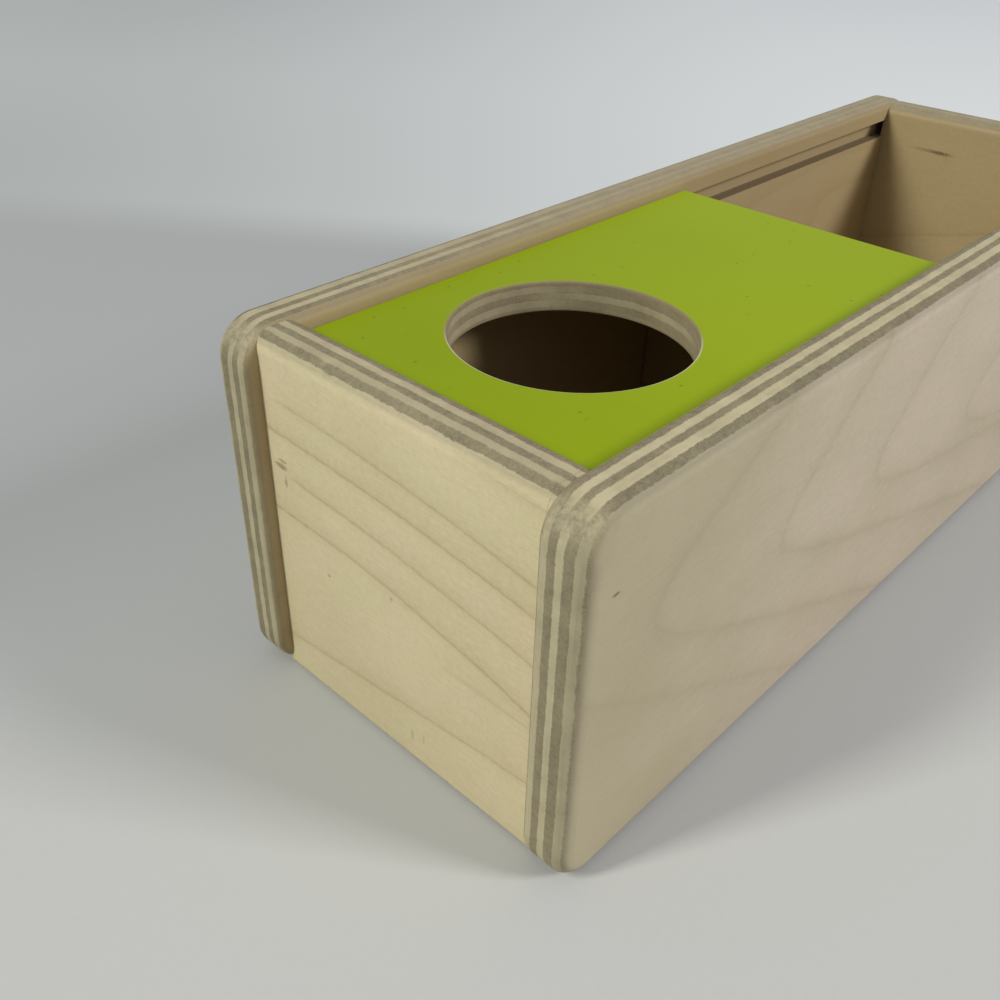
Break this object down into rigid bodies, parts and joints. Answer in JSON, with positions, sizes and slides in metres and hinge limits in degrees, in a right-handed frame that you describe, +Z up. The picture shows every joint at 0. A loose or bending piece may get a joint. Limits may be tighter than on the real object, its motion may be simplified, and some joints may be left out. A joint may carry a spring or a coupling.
{
  "type": "sliding top box",
  "caption": "Long plywood toy box in two compartments, with rounded corners and a short green lid with a round drop hole that slides in grooves along the walls, over either compartment",
  "frame": {"origin": "centre of the footprint, on the surface the box stands on", "axes": "+X along the box from the end where the lid rests to the far end, the way the lid slides; +Y from the front side panel to the back one; +Z up"},
  "size_m": [0.23, 0.08, 0.0715],
  "materials": {
    "side_panel_ply": "bare birch plywood, sanded, edges rounded so that the plies show",
    "end_panel_ply": "bare birch plywood, sanded",
    "bottom_ply": "thin bare birch plywood",
    "divider_ply": "bare birch plywood, sanded",
    "lid_paint": "plywood with satin lime green paint on top, bare edges in the hole",
    "dowel_wood": "bare fluted beech"
  },
  "bodies": {
    "box": {"side_panel_front": "side_panel_ply", "side_panel_back": "side_panel_ply", "end_panel_near": "end_panel_ply", "end_panel_far": "end_panel_ply", "bottom_panel": "bottom_ply", "divider": "divider_ply", "dowel_near_front_low": "dowel_wood", "dowel_near_front_high": "dowel_wood", "dowel_near_back_low": "dowel_wood", "dowel_near_back_high": "dowel_wood", "dowel_middle_front_low": "dowel_wood", "dowel_middle_front_high": "dowel_wood", "dowel_middle_back_low": "dowel_wood", "dowel_middle_back_high": "dowel_wood", "dowel_far_front_low": "dowel_wood", "dowel_far_front_high": "dowel_wood", "dowel_far_back_low": "dowel_wood", "dowel_far_back_high": "dowel_wood"},
    "lid": {"sliding_lid": "lid_paint"}
  },
  "joints": [
    {"name": "lid_slide", "type": "slide", "parent": "box", "child": "lid", "axis": [1, 0, 0], "range_m": [0, 0.0996]}
  ]
}
